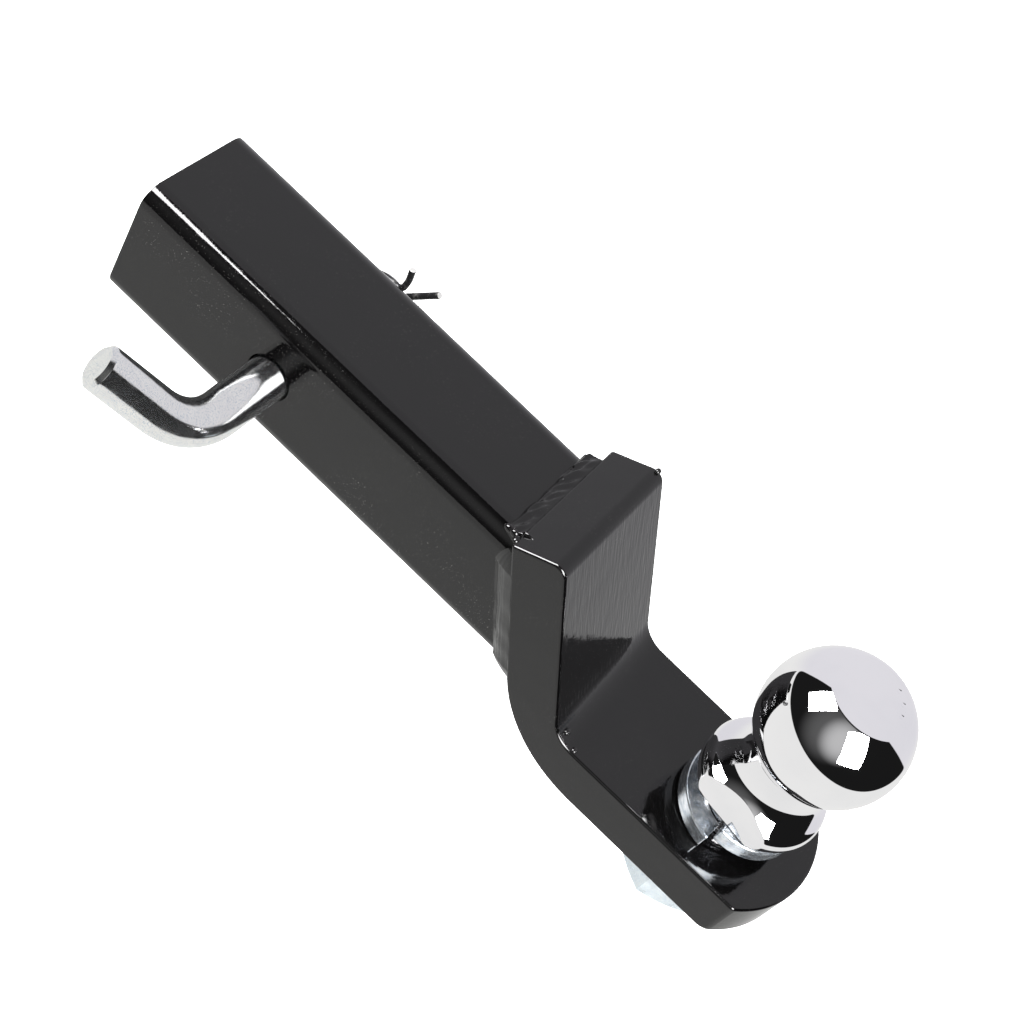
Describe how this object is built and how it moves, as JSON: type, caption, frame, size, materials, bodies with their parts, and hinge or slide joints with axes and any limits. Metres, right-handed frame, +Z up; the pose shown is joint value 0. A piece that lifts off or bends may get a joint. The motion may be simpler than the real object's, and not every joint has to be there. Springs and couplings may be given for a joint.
{
  "type": "trailer_hitch_ball_mount",
  "caption": "Black drop ball mount: hollow square shank welded to a bent tongue bar, chrome tow ball on a stud with lock washer and nut, bent hitch pin with spring clip",
  "frame": {"origin": "centre of the shank's open end, where it goes into the receiver", "axes": "+X forwards along the shank to the ball, +Z up out of the ball's top, -Y to the side with the pin's bent handle"},
  "size_m": [0.3048, 0.1278, 0.13],
  "materials": {
    "paint": "gloss black paint",
    "chrome": "polished chrome plate",
    "zinc": "bright zinc plate",
    "spring": "blackened spring wire"
  },
  "bodies": {
    "mount": {"shank_tube": "paint", "tongue_bar": "paint", "weld_top": "paint", "weld_bottom": "paint", "weld_left": "paint", "weld_right": "paint", "lock_washer": "zinc"},
    "ball": {"tow_ball": "chrome"},
    "nut": {"ball_nut": "zinc"},
    "pin": {"hitch_pin": "zinc"},
    "clip": {"pin_clip": "spring"}
  },
  "joints": [
    {"name": "ball_turn", "type": "hinge", "parent": "mount", "child": "ball", "pos_m": [0.27104, 0, 0], "axis": [0, 0, 1], "range_deg": [0, 5040]},
    {"name": "nut_travel", "type": "slide", "parent": "mount", "child": "nut", "axis": [0, 0, -1], "range_m": [0, 0.0254]},
    {"name": "pin_slide", "type": "slide", "parent": "mount", "child": "pin", "axis": [0, -1, 0], "range_m": [-0.02, 0.0077]},
    {"name": "clip_pull", "type": "slide", "parent": "pin", "child": "clip", "axis": [-0.6388, 0, -0.7694], "range_m": [0, 0.04], "deforming": ["pin_clip"]}
  ],
  "couplings": [
    {"joint": "nut_travel", "follows": "ball_turn", "m_per_rad": 0.00028875}
  ]
}
